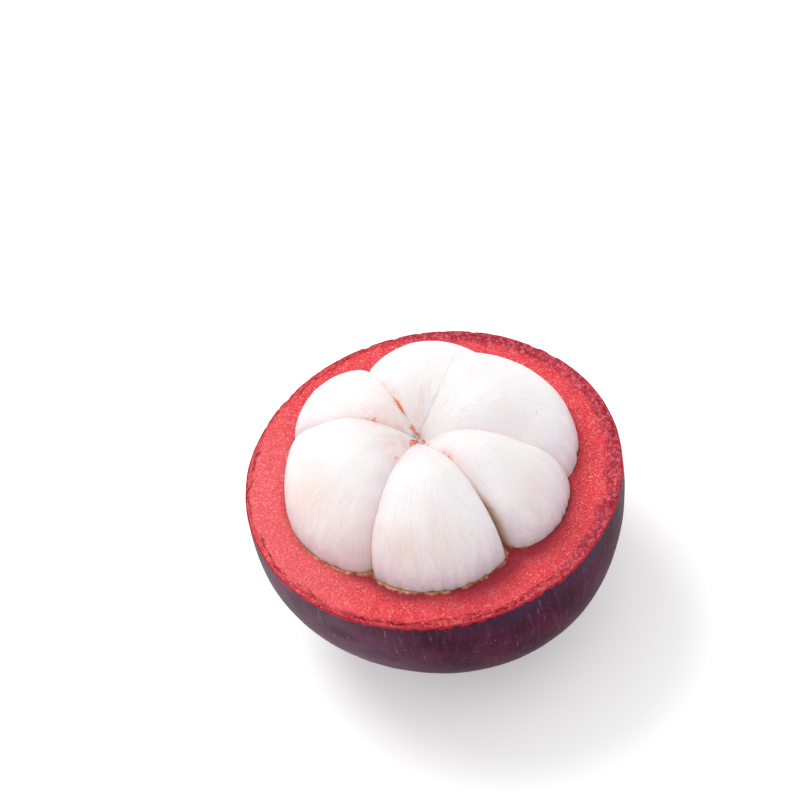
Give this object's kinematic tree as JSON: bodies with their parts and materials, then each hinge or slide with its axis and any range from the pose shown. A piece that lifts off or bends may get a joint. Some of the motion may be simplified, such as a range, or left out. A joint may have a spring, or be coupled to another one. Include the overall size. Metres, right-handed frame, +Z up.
{
  "type": "mangosteen half",
  "caption": "Cut half of a mangosteen: thick bowl-shaped rind with a level cut face, white flesh segments standing out of it as a lobed dome, and a flat rosette under the base.",
  "frame": {"origin": "middle of the underside of the rosette under the base, where the half stands", "axes": "+Z up, square to the level cut face; -Y towards the front segment; +X to the right seen from the front"},
  "size_m": [0.0601, 0.06, 0.0442],
  "materials": {
    "rind": "satin dark purple skin; the cut face and the hollow are grainy coral red",
    "flesh": "moist white flesh with faint fibres and a pink blush in the clefts",
    "fibre": "orange-red plant fibre",
    "rosette": "dry brown, woody"
  },
  "bodies": {
    "root": {"rind": "rind", "segment_front": "flesh", "segment_front_right": "flesh", "segment_back_right": "flesh", "segment_back": "flesh", "segment_back_left": "flesh", "segment_front_left": "flesh", "axis_strand": "fibre", "stigma_rosette": "rosette"}
  },
  "joints": []
}
